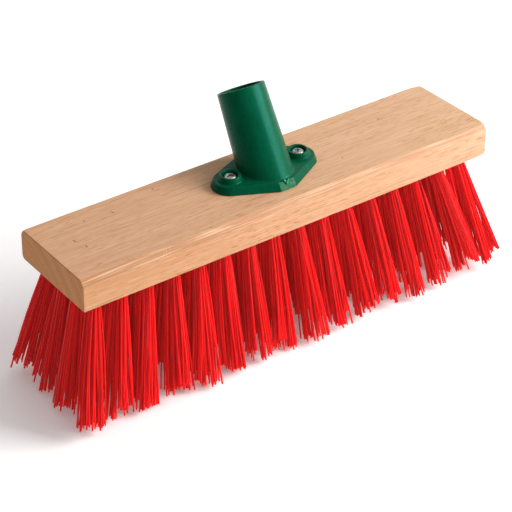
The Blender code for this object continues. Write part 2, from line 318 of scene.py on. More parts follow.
class Nodes:
    """Short ways to add and link shader nodes."""

    def __init__(self, name):
        self.material = bpy.data.materials.new(name)
        self.material.use_nodes = True
        self.tree = self.material.node_tree
        self.shader = self.tree.nodes["Principled BSDF"]
        self.place = self.add("ShaderNodeTexCoord").outputs["Object"]

    def add(self, kind, **settings):
        node = self.tree.nodes.new(kind)
        for key, value in settings.items():
            setattr(node, key, value)
        return node

    def link(self, source, target):
        self.tree.links.new(source, target)

    def feed(self, socket, value):
        if isinstance(value, bpy.types.NodeSocket):
            self.link(value, socket)
        else:
            socket.default_value = value

    def mapped(self, source, scale=(1.0, 1.0, 1.0), location=(0.0, 0.0, 0.0), rotation=(0.0, 0.0, 0.0)):
        node = self.add("ShaderNodeMapping")
        self.link(source, node.inputs["Vector"])
        node.inputs["Scale"].default_value = scale
        node.inputs["Location"].default_value = location
        node.inputs["Rotation"].default_value = rotation
        return node.outputs["Vector"]

    def noise(self, source, scale, detail=2.0, roughness=0.5, distortion=0.0):
        node = self.add("ShaderNodeTexNoise")
        self.link(source, node.inputs["Vector"])
        node.inputs["Scale"].default_value = scale
        node.inputs["Detail"].default_value = detail
        node.inputs["Roughness"].default_value = roughness
        node.inputs["Distortion"].default_value = distortion
        return node.outputs["Fac"]

    def ramp(self, source, *stops):
        """Map a number through (place, value) stops; a value is a number or a colour."""
        node = self.add("ShaderNodeValToRGB")
        self.link(source, node.inputs["Fac"])
        elements = node.color_ramp.elements
        while len(elements) < len(stops):
            elements.new(0.5)
        for element, (position, value) in zip(elements, stops):
            element.position = position
            colour = value if isinstance(value, tuple) else (value, value, value)
            element.color = (*colour, 1.0)
        return node.outputs["Color"]

    def split(self, source):
        """The X, Y and Z of a vector."""
        node = self.add("ShaderNodeSeparateXYZ")
        self.link(source, node.inputs[0])
        return node.outputs

    def mix(self, factor, first, second):
        node = self.add("ShaderNodeMix", data_type="RGBA", blend_type="MIX")
        self.feed(node.inputs["Factor"], factor)
        for socket, value in ((node.inputs[6], first), (node.inputs[7], second)):
            self.feed(socket, (*value, 1.0) if isinstance(value, tuple) else value)
        return node.outputs[2]

    def math(self, operation, first, second=0.0, third=0.0):
        node = self.add("ShaderNodeMath", operation=operation)
        for socket, value in zip(node.inputs, (first, second, third)):
            self.feed(socket, value)
        return node.outputs[0]

    def times(self, first, second):
        return self.math("MULTIPLY", first, second)

    def set(self, name, value):
        """Set one of the shader's own sockets, or link to it."""
        self.feed(self.shader.inputs[name], value)

    def bump(self, height, strength, distance, normal=None):
        node = self.add("ShaderNodeBump")
        self.link(height, node.inputs["Height"])
        node.inputs["Strength"].default_value = strength
        node.inputs["Distance"].default_value = distance
        if normal is not None:
            self.link(normal, node.inputs["Normal"])
        return node.outputs["Normal"]


# ---------------------------------------------------------------- materials

def wood_material():
    """Pale planed wood: growth rings round a pith below the rear edge, fine fibres, short brown dashes."""
    n = Nodes("beech_wood")
    wander = n.noise(n.mapped(n.place, (3.5, 16.0, 16.0)), 1.0, 3.0)
    centred = n.mapped(n.place, (0.0, 1.0, 1.0), (0.0, -PITH_Y, PITH_DEPTH - BLOCK_TOP))
    from_pith = n.add("ShaderNodeVectorMath", operation="LENGTH")
    n.link(centred, from_pith.inputs[0])
    ring_radius = n.math("MULTIPLY_ADD", wander, 0.007, from_pith.outputs["Value"])
    broad_rings = ring_noise(n, ring_radius, 170.0, 1.0)
    fine_rings = ring_noise(n, ring_radius, 900.0, 2.0)

    bent = n.add("ShaderNodeVectorMath", operation="MULTIPLY_ADD")
    n.link(wander, bent.inputs[0])
    bent.inputs[1].default_value = (0.0, 0.008, 0.004)
    n.link(n.place, bent.inputs[2])
    grain = bent.outputs[0]
    fibre = n.noise(n.mapped(grain, (26.0, 1500.0, 1500.0)), 1.0, 3.0, 0.65)
    line = n.noise(n.mapped(grain, (20.0, 980.0, 980.0), (0.0, 3.7, 1.9)), 1.0, 3.0, 0.6)
    dash = n.noise(n.mapped(grain, (105.0, 1450.0, 1450.0), (0.3, 0.7, 0.2)), 1.0, 1.0, 0.5)
    dash_area = n.noise(n.mapped(n.place, (13.0, 45.0, 45.0), (1.3, 0.0, 0.4)), 1.0, 2.0)
    blotch = n.noise(n.mapped(n.place, (16.0, 42.0, 42.0)), 1.0, 2.0)

    parts = n.split(n.place)
    span = n.add("ShaderNodeMapRange")
    n.link(parts["X"], span.inputs["Value"])
    span.inputs["From Min"].default_value = -HALF_LENGTH
    span.inputs["From Max"].default_value = HALF_LENGTH
    along = span.outputs["Result"]
    facing = n.split(n.add("ShaderNodeNewGeometry").outputs["Normal"])
    sideways = n.math("ABSOLUTE", facing["X"])
    front = n.ramp(n.times(facing["Y"], -1.0), (0.80, 0.0), (0.95, 1.0))
    backward = n.times(facing["Y"], 0.707)
    bevel_share = n.math("SUBTRACT", n.times(facing["Z"], 0.707), backward)
    bevel = n.ramp(bevel_share, (0.88, 0.0), (0.97, 1.0))

    # Painted shade: top, front and bevel are painted darker towards the left end and paler towards the
    # right, where more light falls.
    colour = n.mix(along, (0.612, 0.338, 0.201), (0.655, 0.412, 0.256))
    front_colour = n.mix(along, (0.512, 0.248, 0.114), (0.645, 0.370, 0.232))
    bevel_colour = n.mix(along, (0.395, 0.178, 0.074), (0.580, 0.322, 0.202))
    colour = n.mix(front, colour, front_colour)
    colour = n.mix(bevel, colour, bevel_colour)
    colour = n.mix(n.ramp(blotch, (0.35, 0.0), (0.68, 0.35)), colour, (0.620, 0.380, 0.195))
    colour = n.mix(n.ramp(broad_rings, (0.40, 0.16), (0.60, 0.0)), colour, (0.480, 0.240, 0.120))
    colour = n.mix(n.ramp(fine_rings, (0.30, 0.22), (0.52, 0.0)), colour, (0.480, 0.240, 0.120))
    colour = n.mix(n.ramp(line, (0.32, 0.52), (0.41, 0.0)), colour, (0.370, 0.170, 0.075))
    colour = n.mix(n.ramp(fibre, (0.32, 0.34), (0.47, 0.0)), colour, (0.400, 0.185, 0.080))
    colour = n.mix(n.ramp(fibre, (0.54, 0.0), (0.76, 0.36)), colour, (0.880, 0.620, 0.420))
    dash_share = n.ramp(dash_area, (0.34, 0.25), (0.58, 1.0))
    dashes = n.times(n.ramp(dash, (0.60, 0.0), (0.65, 0.80)), dash_share)
    colour = n.mix(dashes, colour, n.mix(front, (0.500, 0.215, 0.082), (0.420, 0.160, 0.054)))
    sawn = n.math("MAXIMUM", front, bevel)
    stripe = n.noise(n.mapped(grain, (62.0, 900.0, 900.0), (0.0, 0.9, 5.1)), 1.0, 3.0, 0.6)
    dark_stripes = n.times(sawn, n.ramp(stripe, (0.28, 0.45), (0.38, 0.0)))
    pale_stripes = n.times(sawn, n.ramp(stripe, (0.58, 0.0), (0.74, 0.22)))
    colour = n.mix(dark_stripes, colour, (0.520, 0.230, 0.095))
    colour = n.mix(pale_stripes, colour, (0.840, 0.570, 0.370))

    sliver = n.noise(n.mapped(grain, (26.0, 1000.0, 1000.0), (2.1, 0.4, 3.3)), 1.0, 1.0, 0.5)
    pale_slivers = n.times(bevel, n.ramp(sliver, (0.56, 0.0), (0.64, 0.32)))
    dark_slivers = n.times(bevel, n.ramp(sliver, (0.36, 0.55), (0.44, 0.0)))
    colour = n.mix(pale_slivers, colour, (0.900, 0.660, 0.450))
    colour = n.mix(dark_slivers, colour, (0.440, 0.190, 0.080))
    nicks = n.times(bevel, bevel_nicks(n, parts))
    colour = n.mix(n.times(nicks, 0.16), colour, (0.930, 0.700, 0.480))

    end_grain = n.ramp(sideways, (0.45, 0.0), (0.80, 1.0))
    pores = n.noise(n.mapped(n.place, (60.0, 1500.0, 1500.0)), 1.0, 2.0, 0.6)
    pore_share = n.ramp(pores, (0.34, 0.0), (0.66, 1.0))
    end_colour = n.mix(pore_share, (0.540, 0.212, 0.070), (0.660, 0.288, 0.100))
    end_colour = n.mix(n.ramp(broad_rings, (0.36, 0.50), (0.60, 0.0)), end_colour, (0.440, 0.196, 0.074))
    # The end grain is paler at the right end; the darker, more saturated left end is painted shade.
    end_colour = n.mix(n.times(along, 0.65), end_colour, (0.560, 0.330, 0.190))
    colour = n.mix(end_grain, colour, end_colour)
    edge = n.ramp(sideways, (0.15, 0.0), (0.35, 1.0), (0.80, 1.0), (0.95, 0.0))
    edge = n.times(edge, n.ramp(facing["Z"], (0.20, 0.0), (0.45, 0.6)))
    colour = n.mix(edge, colour, (0.420, 0.165, 0.060))

    colour = n.mix(n.times(dark_streak(n, wander), 0.55), colour, (0.330, 0.170, 0.085))
    n.set("Base Color", colour)
    n.set("Roughness", n.ramp(fibre, (0.25, 0.66), (0.75, 0.54)))
    n.set("Specular IOR Level", 0.20)

    height = n.math("ADD", n.times(fibre, 0.5), n.times(line, 0.5))
    height = n.math("SUBTRACT", height, n.times(dashes, 0.25))
    height = n.math("ADD", height, n.times(n.times(pores, end_grain), 0.8))
    height = n.math("SUBTRACT", height, n.times(nicks, 0.45))
    n.set("Normal", n.bump(height, 0.45, 0.00010))
    return n.material


def bevel_nicks(n, parts):
    """Three short cuts across the bevel: 1 in the middle of each, 0 elsewhere."""
    level = n.math("ADD", parts["X"], BEVEL_NICK_SLANT * BLOCK_TOP)
    slanted = n.math("MULTIPLY_ADD", parts["Z"], -BEVEL_NICK_SLANT, level)
    cuts = 0.0
    for x in BEVEL_NICKS:
        aside = n.math("ABSOLUTE", n.math("SUBTRACT", slanted, x))
        widths = n.times(aside, 1.0 / BEVEL_NICK_WIDTH)
        cuts = n.math("MAXIMUM", cuts, n.ramp(widths, (0.0, 1.0), (1.0, 0.0)))
    return cuts


def dark_streak(n, wander):
    """One dark line of grain on the top, near the left end: 1 along its middle, 0 outside."""
    parts = n.split(n.mapped(n.place, (1.0, 1.0, 1.0), STREAK_MOVE, (0.0, 0.0, STREAK_TURN)))
    along = n.times(parts["X"], 1.0 / STREAK_HALF_LENGTH)
    wavy = n.math("MULTIPLY_ADD", wander, -0.004, n.math("ADD", parts["Y"], 0.002))
    across = n.times(wavy, 1.0 / STREAK_HALF_WIDTH)
    reach = n.math("ADD", n.times(along, along), n.times(across, across))
    return n.ramp(reach, (0.0, 1.0), (1.0, 0.0))


def ring_noise(n, radius, scale, detail):
    """Growth rings of uneven width: noise along the distance from the pith."""
    node = n.add("ShaderNodeTexNoise", noise_dimensions="1D")
    n.link(radius, node.inputs["W"])
    node.inputs["Scale"].default_value = scale
    node.inputs["Detail"].default_value = detail
    return node.outputs["Fac"]


def socket_material():
    """Moulded green plastic, soft-gloss, with faint flow marks and a rubbed gate facet: rougher, and
    painted paler, partly as a painted highlight.
    """
    n = Nodes("green_plastic")
    flow = n.noise(n.mapped(n.place, (170.0, 170.0, 70.0)), 1.0, 3.0, 0.6, 0.4)
    mottle = n.noise(n.place, 850.0, 3.0, 0.7)
    speckle = n.noise(n.place, 2600.0, 2.0, 0.6)
    colour = n.mix(n.ramp(flow, (0.35, 0.0), (0.68, 1.0)), (0.0002, 0.062, 0.0255), (0.0003, 0.080, 0.0350))
    parts = n.split(n.place)
    facet_start = SOCKET_CENTRE.y - FLANGE_HALF_DEPTH + FLANGE_TOP_INSET_FACETS + 0.0004
    facet_x = SOCKET_CENTRE.x + FLANGE_FACET_SHIFT
    front = n.math("LESS_THAN", parts["Y"], facet_start)
    aside = n.math("ABSOLUTE", n.math("SUBTRACT", parts["X"], facet_x))
    facet = n.times(front, n.math("LESS_THAN", aside, FLANGE_FACET_HALF_WIDTH))
    # The gate facet is painted paler: partly its own rubbed matte surface, partly a painted highlight where
    # it catches the light.
    rubbed_facet_sheen = n.times(facet, n.ramp(mottle, (0.36, 0.12), (0.62, 0.80)))
    colour = n.mix(rubbed_facet_sheen, colour, (0.075, 0.230, 0.120))
    n.set("Base Color", colour)
    rough = n.mix(n.ramp(mottle, (0.30, 0.0), (0.70, 1.0)), (0.24, 0.24, 0.24), (0.38, 0.38, 0.38))
    n.set("Roughness", n.mix(facet, rough, (0.75, 0.75, 0.75)))
    n.set("Specular IOR Level", 0.20)
    n.set("Specular Tint", (0.12, 1.0, 0.80, 1.0))
    soft = n.bump(n.math("ADD", flow, n.times(mottle, 0.16)), 0.11, 0.0009)
    n.set("Normal", n.bump(speckle, 0.04, 0.00006, soft))
    return n.material


def gate_material():
    """The same plastic where it was cut from the mould: torn rather than smooth, and painted paler as
    painted light, so that the scar reads as lit.
    """
    n = Nodes("torn_green_plastic_painted_light")
    torn = n.noise(n.place, 1400.0, 3.0, 0.65)
    # Painted light: far paler than the socket's green, so that the scar looks lit even where it stands in
    # shade.
    colour = n.ramp(torn, (0.34, (0.008, 0.190, 0.095)), (0.66, (0.050, 0.330, 0.180)))
    n.set("Base Color", colour)
    n.set("Roughness", n.ramp(torn, (0.30, 0.38), (0.70, 0.55)))
    n.set("Specular IOR Level", 0.20)
    n.set("Normal", n.bump(torn, 0.15, 0.0002))
    return n.material


def bristle_material():
    """Red extruded plastic, each strand in its own tone. A faint glow stands in for light scattered
    deep in a tuft."""
    n = Nodes("red_bristle")
    island = n.add("ShaderNodeNewGeometry").outputs["Random Per Island"]
    along = n.noise(n.mapped(n.place, (500.0, 500.0, 28.0)), 1.0, 2.0)
    dark, middle, bright = (0.650, 0.0100, 0.0090), (0.760, 0.0080, 0.0095), (0.840, 0.0085, 0.0130)
    colour = n.ramp(island, (0.0, dark), (0.45, middle), (1.0, bright))
    colour = n.mix(n.ramp(along, (0.30, 0.20), (0.70, 0.0)), colour, (0.640, 0.0100, 0.0080))
    n.set("Base Color", colour)
    n.set("Roughness", n.ramp(along, (0.25, 0.34), (0.75, 0.46)))
    n.set("Specular IOR Level", 0.22)
    n.set("Specular Tint", (1.0, 0.22, 0.26, 1.0))
    n.set("Subsurface Weight", 0.75)
    n.set("Subsurface Radius", (1.0, 0.06, 0.06))
    n.set("Subsurface Scale", 0.0035)
    n.set("Emission Color", (1.0, 0.14, 0.12, 1.0))
    n.set("Emission Strength", 0.035)
    n.set("Normal", n.bump(along, 0.10, 0.0002))
    return n.material


def steel_material():
    """Dull zinc-plated steel with cloudy wear, and painted shade down in the cross recess."""
    n = Nodes("zinc_steel")
    cloud = n.noise(n.place, 700.0, 3.0, 0.65)
    wear = n.noise(n.place, 2400.0, 2.0, 0.6)
    dark, middle, bright = (0.18, 0.18, 0.168), (0.45, 0.45, 0.425), (0.82, 0.82, 0.78)
    colour = n.ramp(cloud, (0.34, dark), (0.50, middle), (0.64, bright))
    parts = n.split(n.place)
    # Painted shade in the cross recess: near black deeper down, inside each recess.
    below = n.times(n.math("SUBTRACT", SCREW_HIGH.z, parts["Z"]), 1.0 / RECESS_DEPTH)
    recess_shade = n.ramp(below, (0.24, 0.0), (0.45, 0.9))
    inside = 0.0
    for centre in (SCREW_LEFT, SCREW_RIGHT):
        reach = n.add("ShaderNodeVectorMath", operation="DISTANCE")
        n.link(n.mapped(n.place, (1.0, 1.0, 0.0)), reach.inputs[0])
        reach.inputs[1].default_value = (centre.x, centre.y, 0.0)
        near = n.math("LESS_THAN", reach.outputs["Value"], 0.52 * RECESS_LENGTH)
        inside = n.math("MAXIMUM", inside, near)
    colour = n.mix(n.times(recess_shade, inside), colour, (0.020, 0.020, 0.018))
    n.set("Base Color", colour)
    n.set("Roughness", n.ramp(wear, (0.30, 0.30), (0.75, 0.50)))
    n.set("Metallic", 1.0)
    n.set("Normal", n.bump(wear, 0.20, 0.0001))
    return n.material


def floor_material():
    """Plain white; a faint glow keeps the shadow on it light."""
    n = Nodes("studio_floor")
    haze = n.noise(n.place, 3.0, 2.0)
    n.set("Base Color", n.ramp(haze, (0.3, 0.955), (0.7, 0.965)))
    n.set("Roughness", 0.9)
    n.set("Specular IOR Level", 0.1)
    n.set("Emission Color", (1.0, 1.0, 1.0, 1.0))
    n.set("Emission Strength", 0.12)
    return n.material


# ---------------------------------------------------------------- wooden block

def fillet(before, corner, after, radius, steps):
    """Arc that rounds one corner of a polygon."""
    to_before = (Vector(before) - Vector(corner)).normalized()
    to_after = (Vector(after) - Vector(corner)).normalized()
    half = 0.5 * to_before.angle(to_after)
    centre = Vector(corner) + (to_before + to_after).normalized() * (radius / math.sin(half))
    start = Vector(corner) + to_before * (radius / math.tan(half)) - centre
    stop = Vector(corner) + to_after * (radius / math.tan(half)) - centre
    first = math.atan2(start.y, start.x)
    turn = math.remainder(math.atan2(stop.y, stop.x) - first, 2.0 * math.pi)
    angles = [first + turn * k / steps for k in range(steps + 1)]
    return [(centre.x + radius * math.cos(a), centre.y + radius * math.sin(a)) for a in angles]


def block_outline(rear_wear, chamfer_wear):
    """Cross-section (y, z) with every corner rounded by its own radius; wear rounds a corner more."""
    corners = (
        ((-HALF_WIDTH, BLOCK_BOTTOM), SHARP_EDGE_SOFTNESS + 0.3 * chamfer_wear),
        ((HALF_WIDTH, BLOCK_BOTTOM), REAR_BOTTOM_ROUNDING),
        ((HALF_WIDTH, BLOCK_TOP), REAR_TOP_ROUNDING + rear_wear),
        ((-HALF_WIDTH + FRONT_CHAMFER_WIDTH, BLOCK_TOP), CHAMFER_SOFTNESS + chamfer_wear),
        ((-HALF_WIDTH, BLOCK_TOP - FRONT_CHAMFER_HEIGHT), CHAMFER_SOFTNESS + 0.9 * chamfer_wear),
    )
    outline = []
    for k, (corner, radius) in enumerate(corners):
        before = corners[k - 1][0]
        after = corners[(k + 1) % len(corners)][0]
        outline += fillet(before, corner, after, radius, ARC_STEPS)
    return outline


def block_section(x, inset, setback):
    """Outline at x, drawn in by inset all round; setback pulls the front face back."""
    middle_z = 0.5 * (BLOCK_BOTTOM + BLOCK_TOP)
    share_y = 1.0 - inset / HALF_WIDTH
    share_z = 1.0 - 2.0 * inset / (BLOCK_TOP - BLOCK_BOTTOM)
    near_left = max(0.0, 1.0 - (HALF_LENGTH + x) / LEFT_WEAR_REACH) ** 2
    near_right = max(0.0, 1.0 - (HALF_LENGTH - x) / RIGHT_WEAR_REACH) ** 2
    rear_wear = LEFT_WEAR * near_left + RIGHT_WEAR * near_right
    points = []
    for y, z in block_outline(rear_wear, RIGHT_CHAMFER_WEAR * near_right):
        forward = min(1.0, max(0.0, -y / HALF_WIDTH))
        skew = RIGHT_END_SKEW * forward * max(0.0, (x - SKEW_START) / SKEW_LENGTH)
        height = middle_z + (z - middle_z) * share_z
        points.append(Vector((x + skew, y * share_y + setback * forward, height)))
    return points


def tuft_lines():
    """Root, slope per metre down and CAD node of every tuft, read from the part in its hole."""
    lines = []
    for node in sorted(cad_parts):
        if not node.startswith("tuft"):
            continue
        points = np.array([v.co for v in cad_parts[node].data.vertices])
        upper = points[points[:, 2] > BLOCK_BOTTOM - 0.001]
        middle = 0.5 * (upper[:, 0].min() + upper[:, 0].max())
        left = upper[:, 0] < middle
        groups = (left, ~left) if "pair" in node else (np.ones_like(left),)
        for group in groups:
            mine = upper[group]
            split = 0.5 * (mine[:, 2].min() + mine[:, 2].max())
            recess_shade, shallow = mine[mine[:, 2] > split], mine[mine[:, 2] < split]
            centres = [0.5 * (ring.min(axis=0) + ring.max(axis=0)) for ring in (recess_shade, shallow)]
            slope = (centres[1] - centres[0]) / (centres[0][2] - centres[1][2])
            root = centres[1] + slope * (centres[1][2] - BLOCK_BOTTOM)
            lines.append((np.array([root[0], root[1]]), np.array([slope[0], slope[1]]), node))
    return lines


def hole_cutter(root, slope):
    rings = []
    for z in (BLOCK_BOTTOM - 0.001, BLOCK_BOTTOM + HOLE_DEPTH):
        rings.append(circle(root + slope * (BLOCK_BOTTOM - z), HOLE_RADIUS, z, 24))
    return loft("hole", rings)


def block_stations():
    """Where the sections stand along X: rounded end edges, and a rounder front corner at the right."""
    edge = END_EDGE_SOFTNESS
    stations = [(-HALF_LENGTH + aside, down, 0.0) for down, aside in rounding(edge, 3)]
    stations += [(-HALF_LENGTH + edge + k / 6 * LEFT_WEAR_REACH, 0.0, 0.0) for k in range(1, 7)]
    stations.append((SKEW_START, 0.0, 0.0))
    stations += [(HALF_LENGTH - RIGHT_WEAR_REACH + 0.0015 * k, 0.0, 0.0) for k in range(6)]
    corner = RIGHT_CORNER_ROUNDING
    stations += [(HALF_LENGTH - down, 0.0, aside) for down, aside in rounding(corner, 9)[:-1]]
    for inset in (0.25 * edge, edge):
        stations.append((HALF_LENGTH - edge + math.sqrt(edge * edge - inset * inset), inset, corner))
    return stations


# Handling marks on the top: place along X and Y from the block's centre, half length and turn in degrees
TOP_DENTS = (
    (-0.1402, 0.0053, 0.0016, 20.0),
    (-0.1236, 0.0213, 0.0013, 60.0),
    (-0.1372, -0.0037, 0.0012, 10.0),
    (-0.1032, 0.0196, 0.0016, 35.0),
    (-0.0674, 0.0277, 0.0010, 0.0),
    (0.0560, -0.0120, 0.0010, 80.0),
    (0.1070, 0.0140, 0.0011, -30.0),
)
CRESCENT_X = 0.1520
CRESCENT_RISE = 0.0056
CRESCENT_RADIUS = 0.0044
CRESCENT_START = 112.0
CRESCENT_STEP = 18.0


def dent_cutter(centre, half_length, half_width, half_depth, turn):
    """Ellipsoid whose middle lies close to the surface."""
    body = bmesh.new()
    bmesh.ops.create_icosphere(body, subdivisions=3, radius=1.0)
    bmesh.ops.scale(body, vec=(half_width, half_length, half_depth), verts=body.verts)
    bmesh.ops.transform(body, matrix=Matrix.Translation(centre) @ turn, verts=body.verts)
    return body_object("dent", body)


def make_marks():
    """Cutters for the shallow dents on top and the crescent on the front face, near the right end."""
    cutters = []
    for x, y, half_length, turn in TOP_DENTS:
        tilt = Matrix.Rotation(math.radians(turn), 4, "Z") @ Matrix.Rotation(math.radians(-20.0), 4, "Y")
        cutters.append(dent_cutter((x, y, BLOCK_TOP + 0.00032), 1.20 * half_length, 0.00075, 0.00070, tilt))
    for k in range(6):
        angle = math.radians(CRESCENT_START + CRESCENT_STEP * k)
        x = CRESCENT_X + CRESCENT_RADIUS * math.cos(angle)
        z = BLOCK_BOTTOM + CRESCENT_RISE + CRESCENT_RADIUS * math.sin(angle)
        turn = Matrix.Rotation(-angle, 4, "Y")
        cutters.append(dent_cutter((x, -HALF_WIDTH - 0.00012, z), 0.00030, 0.00034, 0.00100, turn))
    return cutters


def make_block(material, lines):
    block = loft("block_wood", [block_section(*station) for station in block_stations()])
    cutters = [hole_cutter(root, slope) for root, slope, _ in lines]
    for centre in (SCREW_LEFT, SCREW_RIGHT):
        pilot = ((BLOCK_TOP - PILOT_HOLE_DEPTH, PILOT_HOLE_RADIUS), (BLOCK_TOP + 0.001, PILOT_HOLE_RADIUS))
        cutters.append(turned("pilot", centre, pilot, 24))
    apply_boolean(block, join_meshes("cutters", cutters), "DIFFERENCE")
    for mark in make_marks():
        apply_boolean(block, mark, "DIFFERENCE")
    smooth(block, 30.0)
    weigh_normals(block)
    place(block, material, ["block"])


# ---------------------------------------------------------------- handle socket

def flange_ring(end_inset, facet_inset, z):
    """Lozenge outline: an arc round each screw, joined to a short facet at the front and at the rear."""
    end_radius = FLANGE_END_RADIUS - end_inset
    reach = 0.5 * (SCREW_RIGHT.x - SCREW_LEFT.x)
    depth = FLANGE_HALF_DEPTH - facet_inset
    half_facet = FLANGE_FACET_HALF_WIDTH - 0.3 * facet_inset
    right_facet, left_facet = FLANGE_FACET_SHIFT + half_facet, half_facet - FLANGE_FACET_SHIFT
    right = tangent_angle(reach, end_radius, right_facet, depth)
    left = tangent_angle(reach, end_radius, left_facet, depth)
    outline = arc((reach, 0.0), end_radius, -right, right, 28)
    outline += facet_corners(right_facet, depth, 1.0) + facet_corners(-left_facet, depth, -1.0)[::-1]
    outline += arc((-reach, 0.0), end_radius, 180.0 - left, 180.0 + left, 28)
    outline += [(x, -y) for x, y in facet_corners(-left_facet, depth, -1.0)]
    outline += [(x, -y) for x, y in facet_corners(right_facet, depth, 1.0)[::-1]]
    return [Vector((SOCKET_CENTRE.x + x, SOCKET_CENTRE.y + y, z)) for x, y in outline]


def tangent_angle(reach, radius, facet, depth):
    """Angle in degrees where the line from a facet's corner touches the end arc."""
    to_corner = Vector((facet - reach, depth))
    return math.degrees(math.atan2(to_corner.y, to_corner.x) - math.acos(radius / to_corner.length))


def facet_corners(facet, depth, side):
    """One corner of the facet, cut by a short softening edge."""
    soft = 0.0007
    return [(facet + side * soft, depth - 0.55 * soft), (facet - side * soft, depth)]


def make_flange():
    """Flange whose walls lean in towards the top, more at the facets than at the ends."""
    rings = [flange_ring(0.0002, 0.0002, FLANGE_BOTTOM), flange_ring(0.0, 0.0, FLANGE_BOTTOM + 0.0003)]
    corners = ((0.0, FLANGE_BOTTOM), (1.0, FLANGE_TOP), (3.0, FLANGE_TOP))
    unit = FLANGE_TOP_INSET_ENDS
    scaled = [(share * unit, z) for share, z in corners]
    for inset, z in fillet(*scaled, FLANGE_EDGE_ROUNDING, ARC_STEPS):
        share = inset / unit
        rings.append(flange_ring(share * FLANGE_TOP_INSET_ENDS, share * FLANGE_TOP_INSET_FACETS, z))
    return loft("socket_moulding", rings)


def tilted_ring(radius, along):
    centre = TUBE_BASE + along * TUBE_AXIS
    side = Vector((1.0, 0.0, 0.0))
    angles = [2.0 * math.pi * k / TUBE_SIDES for k in range(TUBE_SIDES)]
    return [centre + radius * (math.cos(a) * side + math.sin(a) * TUBE_ACROSS) for a in angles]


def level_ring(base_radius, mouth_radius, z, offset=0.0):
    """Where the lines of the tilted wall meet a level plane, moved out sideways by offset."""
    taper = (mouth_radius - base_radius) / TUBE_LENGTH
    points = []
    for k in range(TUBE_SIDES):
        angle = 2.0 * math.pi * k / TUBE_SIDES
        outward = math.cos(angle) * Vector((1.0, 0.0, 0.0)) + math.sin(angle) * TUBE_ACROSS
        along = (z - TUBE_BASE.z - base_radius * outward.z) / (TUBE_AXIS.z + taper * outward.z)
        sideways = Vector((outward.x, outward.y, 0.0)).normalized()
        wall = TUBE_BASE + along * TUBE_AXIS + (base_radius + taper * along) * outward
        points.append(wall + offset * sideways)
    return points


def make_tube():
    """Outer wall of the tube, flaring into the flange below and rounded at its lip."""
    rings = [level_ring(TUBE_BASE_RADIUS, TUBE_MOUTH_RADIUS, FLANGE_TOP - FLANGE_OVERLAP, BASE_FILLET)]
    for down, aside in rounding(BASE_FILLET, ARC_STEPS, rising=True):
        rings.append(level_ring(TUBE_BASE_RADIUS, TUBE_MOUTH_RADIUS, FLANGE_TOP + down, aside))
    for down, aside in rounding(LIP_ROUNDING, ARC_STEPS):
        rings.append(tilted_ring(TUBE_MOUTH_RADIUS - aside, TUBE_LENGTH - down))
    return loft("tube", rings)


def make_bore():
    """Cutter for the handle's bore, opening out at the lip."""
    rings = [level_ring(BORE_BASE_RADIUS, BORE_MOUTH_RADIUS, FLANGE_BOTTOM + BORE_FLOOR)]
    for down, aside in rounding(LIP_ROUNDING, ARC_STEPS):
        rings.append(tilted_ring(BORE_MOUTH_RADIUS + aside, TUBE_LENGTH - down))
    rings.append(tilted_ring(BORE_MOUTH_RADIUS + LIP_ROUNDING, TUBE_LENGTH + 0.002))
    return loft("bore", rings)


def make_boss(centre):
    """Ring boss with a small fillet at its foot and a rounded rim."""
    top = FLANGE_TOP + BOSS_HEIGHT
    profile = [(FLANGE_TOP - FLANGE_OVERLAP, BOSS_BASE_RADIUS + BOSS_FOOT_FILLET)]
    for down, aside in rounding(BOSS_FOOT_FILLET, ARC_STEPS, rising=True):
        profile.append((FLANGE_TOP + down, BOSS_BASE_RADIUS + aside))
    for down, aside in rounding(BOSS_RIM_ROUNDING, ARC_STEPS):
        profile.append((top - down, BOSS_TOP_RADIUS - aside))
    return turned("boss", centre, profile, BOSS_SIDES)


def make_boss_bore(centre):
    """Cutter for a boss's bore, down to the flange and opening out at the rim."""
    top = FLANGE_TOP + BOSS_HEIGHT
    profile = [(FLANGE_TOP - 0.0002, BOSS_BORE_RADIUS - 0.0004), (FLANGE_TOP + 0.0002, BOSS_BORE_RADIUS)]
    for down, aside in rounding(BOSS_BORE_RIM, ARC_STEPS):
        profile.append((top - down, BOSS_BORE_RADIUS + aside))
    profile.append((top + 0.001, BOSS_BORE_RADIUS + BOSS_BORE_RIM))
    return turned("boss_bore", centre, profile, BOSS_SIDES)


# Lobes of the gate scar: place along X, Y and Z, half height, and lean in degrees
GATE_LOBES = (
    (-0.0010, -0.0003, 0.0003, 0.0015, -36.0),
    (0.0011, -0.0007, 0.0001, 0.0014, 40.0),
    (0.0001, -0.0011, -0.0009, 0.0015, 4.0),
)


def make_gate_nub():
    """Curled two-eared scar of the moulding gate, standing on the top edge of the front facet."""
    lobes = []
    edge = SOCKET_CENTRE.y - FLANGE_HALF_DEPTH + FLANGE_TOP_INSET_FACETS
    for dx, dy, dz, reach, lean in GATE_LOBES:
        body = bmesh.new()
        bmesh.ops.create_icosphere(body, subdivisions=4, radius=reach)
        bmesh.ops.scale(body, vec=(0.55, 0.60, 1.0), verts=body.verts)
        bmesh.ops.rotate(body, matrix=Matrix.Rotation(math.radians(lean), 3, "Y"), verts=body.verts)
        move = (SOCKET_CENTRE.x + GATE_SHIFT + dx, edge + dy, FLANGE_TOP + dz)
        bmesh.ops.translate(body, vec=move, verts=body.verts)
        lobes.append(body_object("lobe", body))
    nub = lobes[0]
    for lobe in lobes[1:]:
        apply_boolean(nub, lobe, "UNION")
    nub.name = "gate_nub"
    smooth(nub, 50.0)
    place(nub, gate_material(), [])


